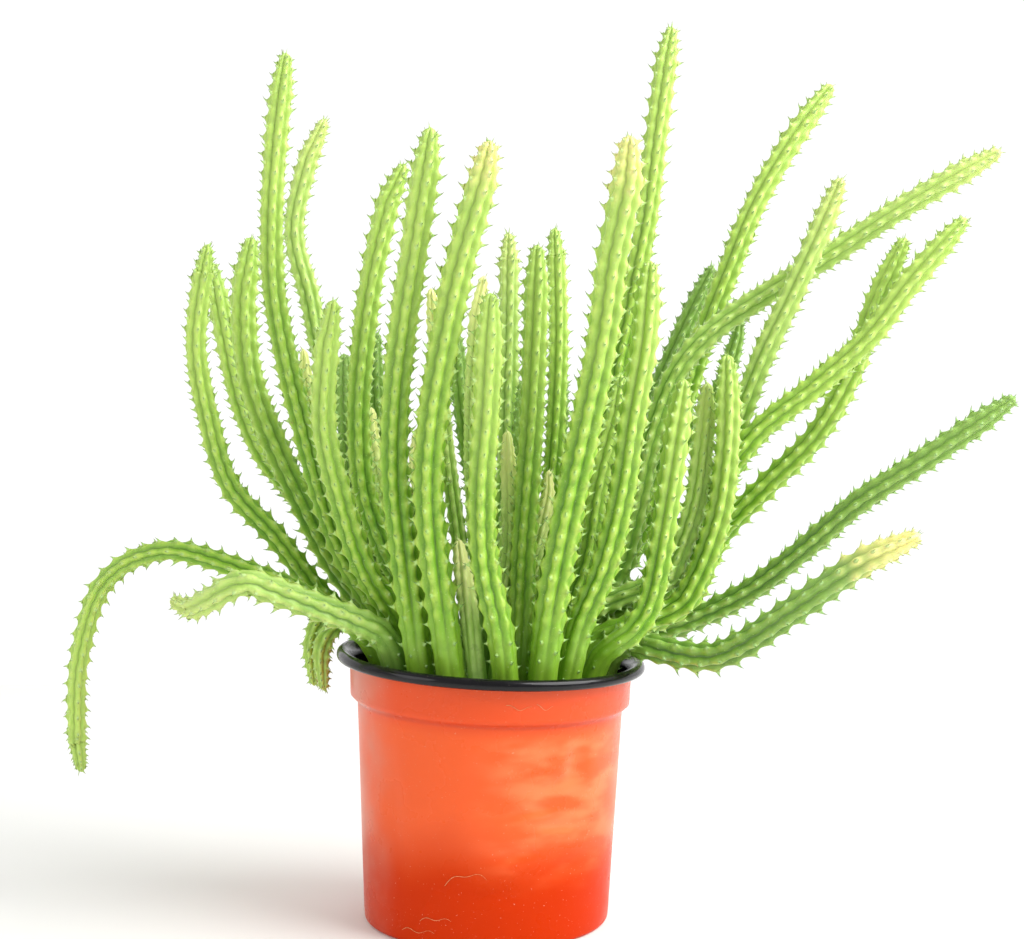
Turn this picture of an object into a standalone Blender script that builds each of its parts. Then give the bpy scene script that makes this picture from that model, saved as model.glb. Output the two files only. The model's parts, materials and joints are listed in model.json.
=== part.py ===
"""Potted clumping succulent in a two-layer nursery pot.

Units are metres, +Z is up and the origin is the centre of the pot's underside.
Guide points below are in millimetres, because a plant is easier to lay out that way.
"""
import math

import bmesh
import bpy
from mathutils import Matrix, Vector

MM = 0.001

# Pot
POT_HEIGHT = 0.129
RIM_RADIUS = 0.075
BASE_RADIUS = 0.0595
STEP_RADIUS = 0.0645
BAND_RADIUS = 0.0680
BAND_TOP_RADIUS = 0.0688
STEP_HEIGHT = 0.1045
BAND_HEIGHT = 0.1080
LIP_DEPTH = 0.0052
SHEET = 0.0010
GAP = 0.00035
POT_SEGMENTS = 48

# The soft pot sags: its rim dips to the right and its wall leans the same way.
RIM_SLOPE = 0.048
WALL_LEAN = 0.018
DENTS = (
    # bearing in degrees from +X, height, half width in degrees, half height, depth
    (-62.0, 0.062, 17.0, 0.020, 0.0016),
    (-112.0, 0.040, 22.0, 0.018, 0.0013),
    (-150.0, 0.080, 15.0, 0.016, 0.0012),
    (70.0, 0.055, 24.0, 0.024, 0.0014),
)

DRAIN_HOLES = 6
DRAIN_RADIUS = 0.004
DRAIN_CIRCLE = 0.047

# Soil
SOIL_TOP = 0.1132
SOIL_CROWN = 0.0004

# Stems
ROOT_LIFT = 0.0009
RIBS = 6
GROOVE = 0.78
RING_SPACING = 0.034
RING_TURN = math.radians(22.0)
STEM_TAPER = 0.08
# stems that slim more towards the tip than the rest
OWN_TAPER = {"stem_curled_left": 0.28, "stem_arch_left": 0.16}
TIP_LENGTH = 0.014
RIB_TWIST = 0.9

# Each stem: crest radius in millimetres, finish, and guide points in millimetres.
# They are measured from the middle of the soil: the first is the root, which stands on it.
STEMS = {
    # front row, left to right
    "stem_curled_left": (7.3, "pale", [
        (-44, -31), (-44, -32, 126), (-50, -37, 142), (-58, -42, 149), (-70, -48, 154),
        (-81, -54, 159), (-94, -60, 166), (-104, -65, 171), (-112, -67.5, 172),
        (-120, -66, 169.5), (-127, -61, 164.5), (-133, -54.5, 160), (-139, -48, 157.5),
        (-145, -42.5, 158.5), (-149, -40, 162)]),
    "stem_front_a": (6.9, "bright", [
        (-31, -43), (-37, -47, 160), (-44, -51, 217), (-43, -55, 262), (-37, -59, 310),
        (-32, -62, 341), (-27, -64, 379)]),
    "stem_front_b": (7.3, "bright", [
        (-17, -50), (-22, -54, 156), (-28, -60, 205), (-26, -65, 250), (-15, -70, 312),
        (-4, -74, 353), (0, -76, 372)]),
    "stem_front_c": (6.7, "bright", [
        (8, -51), (9, -54, 130), (4, -58, 150), (-3, -62, 185), (-4, -65, 213), (-2, -69, 248),
        (0, -74, 304)]),
    "stem_front_d": (7.6, "bright", [
        (23, -47), (28, -52, 157), (35, -58, 200), (44, -64, 247), (51, -69, 286),
        (55, -73, 321), (60, -77, 346), (62, -80, 374)]),
    "stem_front_e": (6.6, "bright", [
        (35, -38), (39, -40, 138), (46, -43, 158), (54, -47, 180), (60, -49, 205),
        (65, -52, 243), (70, -54, 275), (73, -56, 319)]),
    "stem_front_f": (6.3, "bright", [
        (46, -27), (50, -28, 127), (57, -32, 137), (67, -35, 145), (75, -34, 158),
        (79, -33, 176), (84, -34, 211), (91, -35, 264)]),
    "stem_front_g": (6.4, "bright", [
        (36, -9), (41, -7, 124), (54, -4, 137), (69, -4, 142), (85, -5, 148), (96, -6, 159),
        (104, -7, 175), (111, -8, 199), (115, -8, 240), (114, -8, 275)]),
    "stem_sprawl_right": (6.6, "deep", [
        (51, -14), (56, -15, 127), (66, -18, 136), (78, -24, 135.5), (91, -32, 133),
        (104, -41, 134.5), (117, -49, 141), (131, -57, 152), (148, -64, 166.5),
        (169, -70, 182), (194, -75, 195)]),

    # left side, drooping and upright
    "stem_arch_left": (5.3, "bright", [
        (-49, -14), (-52, -15, 125), (-57, -15, 135), (-66, -16, 145), (-82, -16, 156),
        (-99, -16, 164), (-116, -14, 170.5), (-136, -10, 177), (-155, -4, 179.5),
        (-172, 1, 175.5), (-186, 5, 166), (-197, 8, 148), (-203, 10, 122), (-205, 10, 95),
        (-202, 10, 68)]),
    "stem_left_a": (5.4, "bright", [
        (-51, 3), (-54, 4, 124), (-58, 4, 133), (-70, 3, 145), (-87, 3, 162), (-101, 1, 182),
        (-118, -1, 199), (-128, -3, 215), (-137, -5, 247), (-142, -6, 279), (-139, -6, 309),
        (-136, -6, 328)]),
    "stem_left_b": (6.0, "bright", [
        (-28, 44), (-49, 49, 152), (-77, 56, 177), (-100, 62, 202), (-114, 64, 217),
        (-124, 66, 233), (-132, 68, 260), (-139, 70, 291), (-145, 72, 321)]),
    "stem_left_c": (6.9, "bright", [
        (-36, 11), (-46, 14, 130), (-57, 17, 144), (-71, 20, 160), (-80, 23, 175),
        (-92, 26, 197), (-108, 30, 229), (-120, 33, 261), (-124, 36, 296), (-120, 38, 333)]),
    "stem_tall_left": (6.0, "bright", [
        (-36, -7), (-46, -6, 135), (-58, -4, 155), (-70, -2, 175), (-83, 0, 210),
        (-91, 2, 239), (-99, 3, 271), (-105, 3, 304), (-106, 3, 347), (-103, 4, 388),
        (-99, 4, 421)]),
    "stem_left_d": (5.6, "pale", [
        (-12, 44), (-32, 50, 150), (-55, 58, 194), (-73, 65, 239), (-88, 70, 275),
        (-95, 74, 308), (-102, 76, 336), (-99, 78, 360), (-93, 79, 379), (-86, 80, 396)]),
    "stem_left_e": (6.2, "bright", [
        (-31, -23), (-36, -22, 130), (-45, -27, 150), (-59, -37, 175), (-68, -42, 203),
        (-76, -46, 234), (-77, -50, 264), (-72, -53, 301)]),
    "stem_left_f": (5.8, "deep", [
        (-20, 4), (-32, 6, 138), (-46, 8, 165), (-58, 10, 187), (-66, 12, 208),
        (-70, 12, 240), (-72, 12, 275)]),
    "stem_left_g": (6.0, "bright", [
        (-18, -31), (-27, -25, 142), (-43, -19, 168), (-55, -16, 190), (-61, -15, 215),
        (-63, -15, 253), (-59, -15, 294), (-52, -15, 337), (-41, -15, 366)]),
    "stem_left_h": (4.8, "deep", [
        (-10, 16), (-26, 20, 160), (-42, 26, 200), (-54, 32, 235), (-58, 36, 262), (-57, 38, 285)]),
    "stem_hang_a": (4.8, "bright", [
        (-46, 23), (-49, 26, 127), (-55, 28, 136), (-66, 28, 143), (-77, 26, 139),
        (-84, 24, 127), (-83, 23, 106)]),
    "stem_hang_b": (4.6, "bright", [
        (-38, 36), (-41, 37, 125), (-48, 38, 134), (-66, 38, 144), (-82, 38, 143), (-90, 37, 130),
        (-89, 36, 106)]),

    # middle
    "stem_mid_a": (6.2, "bright", [
        (14, -34), (15, -34, 150), (16, -33, 190), (19, -32, 235), (21, -31, 285), (22, -30, 327)]),
    "stem_mid_b": (5.0, "bright", [
        (16, -15), (22, -12, 160), (29, -8, 205), (32, -5, 245), (33, -3, 285),
        (32, -2, 318), (31, -1, 336)]),
    "stem_mid_c": (5.6, "pale", [
        (5, 34), (6, 50, 165), (9, 68, 224), (10, 82, 297), (10, 90, 337)]),
    "stem_mid_d": (4.8, "deep", [
        (15, 28), (24, 42, 163), (33, 56, 208), (38, 64, 262)]),
    "stem_tallest": (6.0, "bright", [
        (14, 12), (26, 14, 150), (38, 16, 180), (50, 19, 212), (57, 21, 232), (64, 24, 265),
        (69, 26, 295), (77, 29, 335), (81, 32, 367), (87, 34, 414), (91, 36, 438)]),
    "stem_mid_e": (5.2, "bright", [
        (27, -24), (36, -24, 145), (46, -23, 175), (49, -22, 197), (53, -21, 219),
        (58, -20, 236), (62, -19, 266)]),
    "stem_mid_f": (5.8, "pale", [
        (22, -2), (34, 0, 132), (50, 4, 149), (74, 4, 160), (87, 1, 166), (95, 0, 184),
        (101, 1, 208), (104, 2, 235), (106, 3, 261)]),

    # right side
    "stem_right_low": (5.9, "deep", [
        (52, 3), (55, 4, 123), (64, 6, 133), (80, 8, 138), (97, 9, 143), (115, 8, 152), (131, 5, 161),
        (146, 0, 174), (163, -6, 190), (180, -12, 206), (203, -18, 222), (227, -22, 239),
        (249, -25, 255)]),
    "stem_right_a": (6.0, "pale", [
        (48, 20), (51, 22, 126), (60, 23, 134), (74, 25, 139), (90, 28, 145), (102, 30, 165),
        (108, 28, 182), (117, 25, 218), (125, 21, 246), (135, 17, 274), (143, 15, 294),
        (153, 14, 312), (160, 13, 330), (167, 12, 348), (172, 11, 361)]),
    "stem_right_b": (6.0, "bright", [
        (40, 33), (42, 35, 125), (50, 40, 135), (66, 43, 140), (84, 44, 139), (98, 44, 146),
        (107, 43, 160), (115, 41, 178), (123, 38, 192), (140, 33, 209), (160, 28, 230),
        (176, 24, 256), (190, 20, 297), (205, 18, 332)]),
    "stem_right_c": (6.1, "bright", [
        (37, 4), (46, 10, 131), (61, 14, 147), (82, 15, 157), (97, 13, 174), (107, 10, 198),
        (124, 7, 229), (149, 6, 251), (180, 4, 278), (206, 2, 312), (231, 2, 341)]),
    "stem_right_d": (6.0, "pale", [
        (30, 20), (37, 22, 130), (47, 25, 145), (60, 28, 156), (68, 28, 176),
        (76, 28, 207), (81, 31, 232), (89, 31, 256), (103, 32, 278), (130, 34, 299),
        (152, 34, 312), (181, 30, 331), (206, 26, 348), (252, 20, 375)]),
    "stem_right_e": (6.2, "bright", [
        (28, 43), (34, 46, 128), (50, 53, 148), (73, 60, 171), (85, 64, 199), (98, 68, 240),
        (111, 72, 282), (125, 76, 318), (138, 80, 350), (157, 84, 383), (180, 90, 415)]),
    "stem_right_f": (5.4, "deep", [
        (14, 47), (36, 64, 155), (60, 80, 200), (79, 92, 236), (92, 100, 260), (109, 106, 297),
        (120, 108, 320)]),
    "stem_right_g": (4.8, "deep", [
        (-1, 50), (5, 54, 127), (14, 65, 140), (30, 80, 155), (66, 96, 190), (104, 98, 225), (126, 94, 262),
        (133, 92, 293)]),

    # further back, seen between the others
    "stem_back_a": (5.2, "deep", [
        (2, 17), (0, 21, 160), (-7, 27, 205), (-14, 32, 250), (-18, 34, 288)]),
    "stem_back_b": (4.8, "deep", [
        (10, -3), (13, -1, 160), (15, 0, 205), (16, 1, 262)]),

    # young shoots between the stems
    "shoot_rim": (5.0, "shoot", [
        (-4.5, -52), (-6, -51, 128), (-9, -46, 148), (-12, -41, 168), (-15, -37, 189)]),
    "shoot_a": (4.4, "shoot", [
        (2, -33), (6, -28, 150), (10, -23, 190), (9, -21, 216), (8, -20, 239)]),
    "shoot_b": (3.8, "shoot", [
        (6, -16), (12, -20, 150), (22, -22, 182), (27, -20, 203), (28, -19, 220)]),
    "shoot_c": (4.2, "shoot", [
        (-14, -15), (-22, -18, 160), (-30, -21, 195), (-35, -22, 220), (-35, -22, 239)]),
    "shoot_d": (4.2, "shoot", [
        (-2, 0), (-6, -2, 170), (-9, -3, 230), (-7, -4, 285), (-3, -5, 313)]),
    "shoot_e": (4.2, "shoot", [
        (-8, 31), (-14, 26, 170), (-22, 20, 230), (-27, 12, 285), (-29, 9, 307)]),
    "shoot_g": (4.0, "shoot", [
        (-22, 30), (-38, 31, 155), (-59, 30, 200), (-80, 28, 232), (-89, 26, 252),
        (-93, 24, 277)]),
    "shoot_h": (4.0, "shoot", [
        (-8, -6), (-22, -4, 140), (-36, -2, 168), (-49, 1, 200), (-56, 3, 226),
        (-58, 3, 249)]),
}

# finish: colour, roughness
FINISHES = {
    "bright": ((0.27, 0.46, 0.07, 1.0), 0.42),
    "deep": ((0.17, 0.34, 0.07, 1.0), 0.45),
    "pale": ((0.50, 0.64, 0.17, 1.0), 0.40),
    "shoot": ((0.58, 0.56, 0.16, 1.0), 0.45),
    "pot_orange": ((0.83, 0.11, 0.022, 1.0), 0.38),
    "pot_black": ((0.02, 0.018, 0.02, 1.0), 0.22),
    "soil": ((0.045, 0.028, 0.018, 1.0), 0.95),
}


def clear_scene():
    for thing in list(bpy.data.objects):
        bpy.data.objects.remove(thing, do_unlink=True)


def make_material(name, finish):
    colour, roughness = FINISHES[finish]
    material = bpy.data.materials.new(name)
    material.use_nodes = True
    shader = material.node_tree.nodes["Principled BSDF"]
    shader.inputs["Base Color"].default_value = colour
    shader.inputs["Roughness"].default_value = roughness
    shader.inputs["Metallic"].default_value = 0.0
    return material


def add_object(name, bm, finish):
    bmesh.ops.recalc_face_normals(bm, faces=bm.faces)
    mesh = bpy.data.meshes.new(name)
    bm.to_mesh(mesh)
    bm.free()
    mesh.shade_smooth()
    mesh.set_sharp_from_angle(angle=math.radians(60))
    mesh.materials.append(make_material(name + "_finish", finish))
    thing = bpy.data.objects.new(name, mesh)
    bpy.context.scene.collection.objects.link(thing)
    return thing


# ---------------------------------------------------------------- pot

def wall_radius(height):
    """Outer radius of the pot's wall: a taper, a step and the band under the lip."""
    if height <= STEP_HEIGHT:
        return BASE_RADIUS + (STEP_RADIUS - BASE_RADIUS) * height / STEP_HEIGHT
    if height <= BAND_HEIGHT:
        part = (height - STEP_HEIGHT) / (BAND_HEIGHT - STEP_HEIGHT)
        return STEP_RADIUS + (BAND_RADIUS - STEP_RADIUS) * part
    part = (height - BAND_HEIGHT) / (POT_HEIGHT - BAND_HEIGHT)
    return BAND_RADIUS + (BAND_TOP_RADIUS - BAND_RADIUS) * part


def wall_levels(bottom, top):
    """Heights at which every layer of the pot has a ring, so that the layers stay parallel."""
    between = [0.020, 0.040, 0.060, 0.080, 0.096, STEP_HEIGHT, BAND_HEIGHT, SOIL_TOP]
    return [bottom] + [z for z in between if bottom < z < top] + [top]


def dent(bearing, height):
    """How far the wall is pushed in at this place."""
    depth = 0.0
    for middle, level, half_width, half_height, deepest in DENTS:
        turn = (math.degrees(bearing) - middle + 180.0) % 360.0 - 180.0
        fall = (turn / half_width) ** 2 + ((height - level) / half_height) ** 2
        depth += deepest * math.exp(-fall)
    return depth


def settle(radius, bearing, height):
    """Place a point of the round pot in the slightly sagged one."""
    share = max(0.0, height / POT_HEIGHT)
    pushed = radius - dent(bearing, height) * radius / BASE_RADIUS * share ** 0.2
    x = pushed * math.cos(bearing)
    y = pushed * math.sin(bearing)
    dip = RIM_SLOPE * x * share ** 1.5
    return Vector((x + WALL_LEAN * height, y, height - dip))


def turn_profile(profile):
    """Revolve (radius, height) points. A point on the axis becomes a single vertex."""
    bm = bmesh.new()
    rings = []
    for radius, height in profile:
        if radius == 0.0:
            rings.append([bm.verts.new(settle(0.0, 0.0, height))])
            continue
        ring = []
        for step in range(POT_SEGMENTS):
            bearing = 2.0 * math.pi * step / POT_SEGMENTS
            ring.append(bm.verts.new(settle(radius, bearing, height)))
        rings.append(ring)
    for lower, upper in zip(rings, rings[1:]):
        join_rings(bm, lower, upper)
    return bm


def join_rings(bm, lower, upper):
    count = max(len(lower), len(upper))
    for step in range(count):
        after = (step + 1) % count
        corners = []
        for ring in (lower, upper):
            if len(ring) == 1:
                corners.append([ring[0]])
            else:
                corners.append([ring[step], ring[after]])
        bm.faces.new(corners[0] + corners[1][::-1])


def pot_shell_profile():
    """The coloured outer layer: a thin cup that ends under the lip."""
    top = POT_HEIGHT - LIP_DEPTH - GAP
    outside = [(wall_radius(z), z) for z in wall_levels(0.0, top)]
    inside = [(wall_radius(z) - SHEET, z) for z in wall_levels(SHEET, top)]
    return [(0.0, 0.0)] + outside + inside[::-1] + [(0.0, SHEET)]


def lining_profile():
    """The black inner layer, which turns out over the top as a rolled lip."""
    inset = SHEET + GAP
    floor = SHEET + GAP
    under_lip = POT_HEIGHT - LIP_DEPTH
    outside = [(wall_radius(z) - inset, z) for z in wall_levels(floor, under_lip)]
    inner_floor = floor + SHEET
    inner_top = POT_HEIGHT - 0.0035
    inside = [(wall_radius(z) - inset - SHEET, z) for z in wall_levels(inner_floor, inner_top)]
    lip = [
        (RIM_RADIUS - 0.0016, under_lip),
        (RIM_RADIUS - 0.0002, under_lip + LIP_DEPTH * 0.22),
        (RIM_RADIUS, under_lip + LIP_DEPTH * 0.52),
        (RIM_RADIUS - 0.0009, under_lip + LIP_DEPTH * 0.84),
        (RIM_RADIUS - 0.0028, POT_HEIGHT),
        (RIM_RADIUS - 0.0052, POT_HEIGHT - 0.0006),
    ]
    return [(0.0, floor)] + outside + lip + inside[::-1] + [(0.0, inner_floor)]


def soil_profile():
    inset = 2.0 * SHEET + 2.0 * GAP
    bottom = 2.0 * (SHEET + GAP)
    side = [(wall_radius(z) - inset, z) for z in wall_levels(bottom, SOIL_TOP)]
    crown = [(0.035, SOIL_TOP + SOIL_CROWN * 0.6), (0.0, SOIL_TOP + SOIL_CROWN)]
    return [(0.0, bottom)] + side + crown


def soil_surface(x):
    """Height of the soil, which dips to the right with the pot."""
    return SOIL_TOP + SOIL_CROWN - RIM_SLOPE * x * (SOIL_TOP / POT_HEIGHT) ** 1.5


def drain_cutter():
    """One upright peg for each drain hole, used as a Boolean cutter."""
    bm = bmesh.new()
    for step in range(DRAIN_HOLES):
        bearing = 2.0 * math.pi * (step + 0.5) / DRAIN_HOLES
        place = Vector((DRAIN_CIRCLE * math.cos(bearing), DRAIN_CIRCLE * math.sin(bearing), 0.0))
        bmesh.ops.create_cone(
            bm, cap_ends=True, segments=16, radius1=DRAIN_RADIUS, radius2=DRAIN_RADIUS,
            depth=0.02, matrix=Matrix.Translation(place))
    cutter = add_object("drain_cutter", bm, "pot_black")
    cutter.hide_render = True
    cutter.display_type = "WIRE"
    return cutter


def build_pot():
    shell = add_object("pot_shell", turn_profile(pot_shell_profile()), "pot_orange")
    lining = add_object("pot_lining", turn_profile(lining_profile()), "pot_black")
    cutter = drain_cutter()
    for layer in (shell, lining):
        cut = layer.modifiers.new("drain_holes", "BOOLEAN")
        cut.operation = "DIFFERENCE"
        cut.solver = "EXACT"
        cut.object = cutter
    add_object("soil", turn_profile(soil_profile()), "soil")


# ---------------------------------------------------------------- stems

def spline_point(points, index, part):
    """Catmull-Rom curve between guide points index and index + 1."""
    here = points[index]
    there = points[index + 1]
    before = points[index - 1] if index > 0 else here * 2.0 - there
    after = points[index + 2] if index + 2 < len(points) else there * 2.0 - here
    square = part * part
    cube = square * part
    return 0.5 * (
        2.0 * here
        + (there - before) * part
        + (2.0 * before - 5.0 * here + 4.0 * there - after) * square
        + (3.0 * here - before - 3.0 * there + after) * cube)


def stem_path(guide):
    """Ring centres along the stem, closer together where it bends, with their share of its length."""
    shift = Vector((WALL_LEAN * SOIL_TOP, 0.0, 0.0))
    root = Vector((guide[0][0] * MM, guide[0][1] * MM, 0.0)) + shift
    root.z = soil_surface(root.x) + ROOT_LIFT
    points = [root] + [Vector(point) * MM + shift for point in guide[1:]]
    dense = []
    for index in range(len(points) - 1):
        dense += [spline_point(points, index, step / 24.0) for step in range(24)]
    dense.append(points[-1])
    run = [0.0]
    for earlier, later in zip(dense, dense[1:]):
        run.append(run[-1] + (later - earlier).length)
    total = run[-1]
    path = [(dense[0], 0.0)]
    kept = 0
    for place in range(1, len(dense) - 1):
        if run[place] > total - TIP_LENGTH:
            break
        turn = (dense[place + 1] - dense[place]).angle(dense[kept + 1] - dense[kept])
        if turn > RING_TURN or run[place] - run[kept] > RING_SPACING:
            path.append((dense[place], run[place] / total))
            kept = place
    for to_tip in (TIP_LENGTH, TIP_LENGTH * 0.3, 0.0):
        place = max(step for step in range(len(run)) if run[step] <= total - to_tip)
        path.append((dense[place], run[place] / total))
    return path, total


def stem_radius(crest, taper, share, to_tip):
    """Thick at the heel, a little slimmer above, and rounded off at the tip."""
    body = crest * (1.0 - taper * share)
    if to_tip >= TIP_LENGTH:
        return body
    near = 1.0 - to_tip / TIP_LENGTH
    return body * (1.0 - 0.74 * near ** 1.7)


def build_stem(name, crest_mm, finish, guide):
    path, total = stem_path(guide)
    taper = OWN_TAPER.get(name, STEM_TAPER)
    bm = bmesh.new()
    rings = []
    side = Vector((1.0, 0.0, 0.0))
    for index, (centre, share) in enumerate(path):
        if index == 0:
            along = Vector((0.0, 0.0, 1.0))
        elif index == len(path) - 1:
            along = (centre - path[index - 1][0]).normalized()
        else:
            along = (path[index + 1][0] - path[index - 1][0]).normalized()
        side = (side - along * side.dot(along)).normalized()
        other = along.cross(side)
        radius = stem_radius(crest_mm * MM, taper, share, total * (1.0 - share))
        ring = []
        for step in range(2 * RIBS):
            reach = radius * (GROOVE if step % 2 else 1.0)
            angle = math.pi * step / RIBS + RIB_TWIST * share
            offset = side * math.cos(angle) + other * math.sin(angle)
            ring.append(bm.verts.new(centre + offset * reach))
        rings.append(ring)
    for lower, upper in zip(rings, rings[1:]):
        join_rings(bm, lower, upper)
    bm.faces.new(rings[0][::-1])
    bm.faces.new(rings[-1])
    add_object(name, bm, finish)


def build_plant():
    for name, (crest, finish, guide) in STEMS.items():
        build_stem(name, crest, finish, guide)


clear_scene()
build_pot()
build_plant()
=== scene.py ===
import json
import math
import random

import bmesh
import bpy
import numpy as np
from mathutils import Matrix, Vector


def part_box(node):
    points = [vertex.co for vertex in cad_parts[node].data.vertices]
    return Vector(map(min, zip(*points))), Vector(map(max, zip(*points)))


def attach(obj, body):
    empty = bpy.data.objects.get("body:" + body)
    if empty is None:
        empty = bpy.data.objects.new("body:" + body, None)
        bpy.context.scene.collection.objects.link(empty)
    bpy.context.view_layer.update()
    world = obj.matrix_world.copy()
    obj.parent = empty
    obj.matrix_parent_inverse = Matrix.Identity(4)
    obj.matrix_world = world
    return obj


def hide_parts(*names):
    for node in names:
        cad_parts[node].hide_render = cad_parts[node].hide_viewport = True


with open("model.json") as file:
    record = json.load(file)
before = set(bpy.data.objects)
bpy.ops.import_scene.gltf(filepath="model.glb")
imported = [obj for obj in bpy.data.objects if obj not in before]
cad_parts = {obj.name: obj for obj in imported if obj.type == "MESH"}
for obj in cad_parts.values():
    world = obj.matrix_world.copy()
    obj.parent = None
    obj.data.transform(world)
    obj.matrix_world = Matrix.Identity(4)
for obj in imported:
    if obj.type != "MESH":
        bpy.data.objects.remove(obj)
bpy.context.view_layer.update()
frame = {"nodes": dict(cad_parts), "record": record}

# chance is for the plant, dice for the soil
chance = random.Random(41)
dice = np.random.default_rng(41)


# small tools that every piece uses

def fromScreen(red, green, blue):
    # 0 to 255 screen values, turned into linear light
    linear = []
    for value in (red, green, blue):
        part = value / 255.0
        linear.append(part / 12.92 if part <= 0.04045 else ((part + 0.055) / 1.055) ** 2.4)
    return (linear[0], linear[1], linear[2], 1.0)


def newMaterial(name):
    material = bpy.data.materials.new(name)
    material.use_nodes = True
    nodes = material.node_tree.nodes
    links = material.node_tree.links
    return material, nodes, links, nodes["Principled BSDF"]


def addNoise(nodes, links, scale, detail=4.0, roughness=0.55):
    place = nodes.new("ShaderNodeTexCoord")
    noise = nodes.new("ShaderNodeTexNoise")
    noise.inputs["Scale"].default_value = scale
    noise.inputs["Detail"].default_value = detail
    noise.inputs["Roughness"].default_value = roughness
    links.new(place.outputs["Object"], noise.inputs["Vector"])
    return noise.outputs["Fac"]


def addRange(nodes, links, value, low, high, newLow=0.0, newHigh=1.0):
    node = nodes.new("ShaderNodeMapRange")
    node.interpolation_type = "SMOOTHSTEP"
    node.inputs["From Min"].default_value = low
    node.inputs["From Max"].default_value = high
    node.inputs["To Min"].default_value = newLow
    node.inputs["To Max"].default_value = newHigh
    links.new(value, node.inputs["Value"])
    return node.outputs["Result"]


def addMix(nodes, links, factor, first, second):
    # first and second are colours or sockets
    node = nodes.new("ShaderNodeMix")
    node.data_type = "RGBA"
    links.new(factor, node.inputs[0])
    for socket, value in ((node.inputs[6], first), (node.inputs[7], second)):
        if isinstance(value, tuple):
            socket.default_value = value
        else:
            links.new(value, socket)
    return node.outputs[2]


def addMath(nodes, links, kind, first, second):
    node = nodes.new("ShaderNodeMath")
    node.operation = kind
    for socket, value in ((node.inputs[0], first), (node.inputs[1], second)):
        if isinstance(value, (int, float)):
            socket.default_value = value
        else:
            links.new(value, socket)
    return node.outputs[0]


def addBump(nodes, links, shader, height, strength, distance):
    bump = nodes.new("ShaderNodeBump")
    bump.inputs["Strength"].default_value = strength
    bump.inputs["Distance"].default_value = distance
    links.new(height, bump.inputs["Height"])
    links.new(bump.outputs["Normal"], shader.inputs["Normal"])


def newPiece(name, points, faces, material, replaced=()):
    mesh = bpy.data.meshes.new(name)
    mesh.from_pydata(np.asarray(points).tolist(), [], faces)
    mesh.shade_smooth()
    mesh.materials.append(material)
    piece = bpy.data.objects.new(name, mesh)
    bpy.context.scene.collection.objects.link(piece)
    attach(piece, "root")
    if replaced:
        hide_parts(*replaced)
    return piece


def paintPoints(piece, attribute, values):
    layer = piece.data.color_attributes.new(attribute, "FLOAT_COLOR", "POINT")
    layer.data.foreach_set("color", np.asarray(values, dtype=np.float32).ravel())


def gridFaces(rows, columns, start=0):
    # quads of a tube: every row is a closed ring
    faces = []
    for row in range(rows - 1):
        low = start + row * columns
        high = low + columns
        for column in range(columns):
            after = (column + 1) % columns
            faces.append((low + column, low + after, high + after, high + column))
    return faces


# stems and shoots: a toothed skin along the spine of each CAD stem

stemLook = {
    "rootBand": (0.106, 0.122),     # heights between which every root lies
    "rootReach": 0.064,
    "ringCorners": 12,
    "spanSteps": 30,
    "stationStep": 0.00115,
    "ribs": 6,
    "columnsPerRib": 8,
    "sink": 0.005,                  # how far a stem goes on down into the soil
    "tubercleStep": 0.0097,         # tooth to tooth along a rib, on a thick stem
    "thickRadius": 0.0068,
    "crowdedLength": 0.032,         # tubercles crowd together this close to the tip
    "tubercleRise": 0.27,           # share of the stem's radius
    "sunk": 0.09,                   # how far the body lies inside the CAD crest, as a share
    "widthBelow": 0.33,             # of a tubercle, as a share of the step
    "widthAbove": 0.23,
    "grooveDepth": 0.17,
    "grooveWidth": 0.30,
    "zigzag": math.radians(3.6),
    "toothHeight": 0.0033,
    "toothRadius": 0.00064,
    "toothCorners": 6,
    "toothLevels": (0.0, 0.14, 0.36, 0.68),
    "toothWidths": (1.90, 1.10, 0.64, 0.30),
    "tipTaper": 0.019,
    "tipClose": 0.0022,             # the very end rounds off over this length
    "youngLength": 0.06,            # and the young colour fades over this one
    "heelPlain": 0.015,             # above the soil the heel is smooth to here
    "heelSmooth": 0.050,            # and the tubercles have grown in by here
    "heelTeethShare": 0.65,         # part of the teeth that the heel keeps
    "shootTeethEvery": 5,           # a shoot keeps one tooth in five
    "crownTeeth": 11,
    "shootCrownTeeth": 3,
    # stems whose last stretch is pale yellow: its length and strength
    "paleTips": {"stem_sprawl_right": (0.056, 2.3), "stem_front_b": (0.045, 1.55),
                 "stem_front_d": (0.060, 1.55)},
}


def besideThem(corners):
    return {edge.other_vert(corner) for corner in corners for edge in corner.link_edges}


def inOrder(corners):
    # a set's own order changes from run to run
    return sorted(corners, key=lambda corner: corner.index)


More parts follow.
